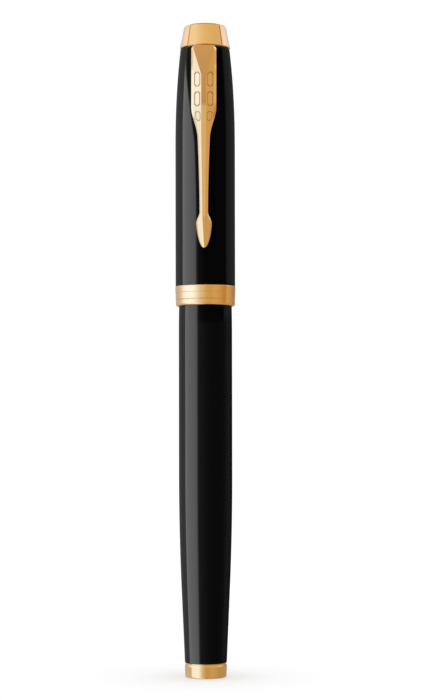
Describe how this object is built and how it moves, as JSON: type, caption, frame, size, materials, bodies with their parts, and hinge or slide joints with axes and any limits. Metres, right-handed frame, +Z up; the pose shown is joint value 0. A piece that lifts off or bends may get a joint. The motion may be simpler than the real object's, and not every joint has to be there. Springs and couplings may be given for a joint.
{
  "type": "rollerball pen",
  "caption": "Slim capped rollerball pen with a tapered lacquered barrel, gilt trim and a spring pocket clip.",
  "frame": {"origin": "centre of the flat end face of the barrel, on which the pen stands", "axes": "+Z up the pen's long axis, from the barrel's end to the crown; -Y towards the pocket clip"},
  "size_m": [0.0128, 0.0148, 0.138],
  "materials": {
    "black_lacquer": "gloss lacquer",
    "gilt_trim": "polished gilt",
    "grip_plastic": "gloss",
    "turned_brass": "turned",
    "liner_plastic": "moulded",
    "spring_steel": "bright",
    "refill_metal": "satin",
    "refill_plastic": "moulded",
    "ink_fibre": "ink-soaked fibre",
    "nickel_silver": "bright turned",
    "carbide": "polished"
  },
  "bodies": {
    "barrel_body": {"barrel_shell": "black_lacquer", "barrel_end_cap": "gilt_trim", "spring_seat": "liner_plastic", "refill_spring": "spring_steel", "barrel_bushing": "turned_brass"},
    "ring_body": {"trim_ring": "gilt_trim"},
    "section_body": {"section_core": "turned_brass", "grip_sleeve": "grip_plastic", "nose_cone": "gilt_trim"},
    "refill_body": {"refill_tube": "refill_metal", "refill_end_plug": "refill_plastic", "refill_nose": "refill_plastic", "ink_reservoir": "ink_fibre", "feed_wick": "ink_fibre", "tip_housing": "nickel_silver"},
    "ball_body": {"writing_ball": "carbide"},
    "clutch_body": {"clutch_ring": "spring_steel"},
    "cap_body": {"cap_band": "gilt_trim", "cap_shell": "black_lacquer", "cap_liner": "liner_plastic", "cap_plug": "turned_brass", "cap_crown": "gilt_trim", "crown_screw": "spring_steel", "crown_washer": "spring_steel"},
    "clip_body": {"clip": "gilt_trim"}
  },
  "joints": [
    {"name": "section_unscrew", "type": "hinge", "parent": "barrel_body", "child": "ring_body", "pos_m": [0, 0, 0.0787], "axis": [0, 0, 1], "range_deg": [0, 2160]},
    {"name": "section_advance", "type": "slide", "parent": "ring_body", "child": "section_body", "axis": [0, 0, 1], "range_m": [0, 0.0048], "deforming": ["refill_spring"]},
    {"name": "refill_float", "type": "slide", "parent": "section_body", "child": "refill_body", "axis": [0, 0, 1], "range_m": [-0.0012, 0], "stiffness_N_per_m": 400, "springref_m": 0.004, "deforming": ["refill_spring"]},
    {"name": "ball_roll", "type": "hinge", "parent": "refill_body", "child": "ball_body", "pos_m": [0, 0, 0.12105], "axis": [1, 0, 0], "continuous": true},
    {"name": "cap_swivel", "type": "hinge", "parent": "section_body", "child": "clutch_body", "pos_m": [0, 0, 0.0835], "axis": [0, 0, 1], "continuous": true},
    {"name": "cap_pull", "type": "slide", "parent": "clutch_body", "child": "cap_body", "axis": [0, 0, 1], "range_m": [0, 0.048]},
    {"name": "clip_flex", "type": "hinge", "parent": "cap_body", "child": "clip_body", "pos_m": [0, -0.0049, 0.13195], "axis": [-1, 0, 0], "range_deg": [0, 4], "stiffness_Nm_per_rad": 2, "springref_deg": -1.15}
  ],
  "couplings": [
    {"joint": "section_unscrew", "follows": "section_advance", "rad_per_m": 7854}
  ]
}
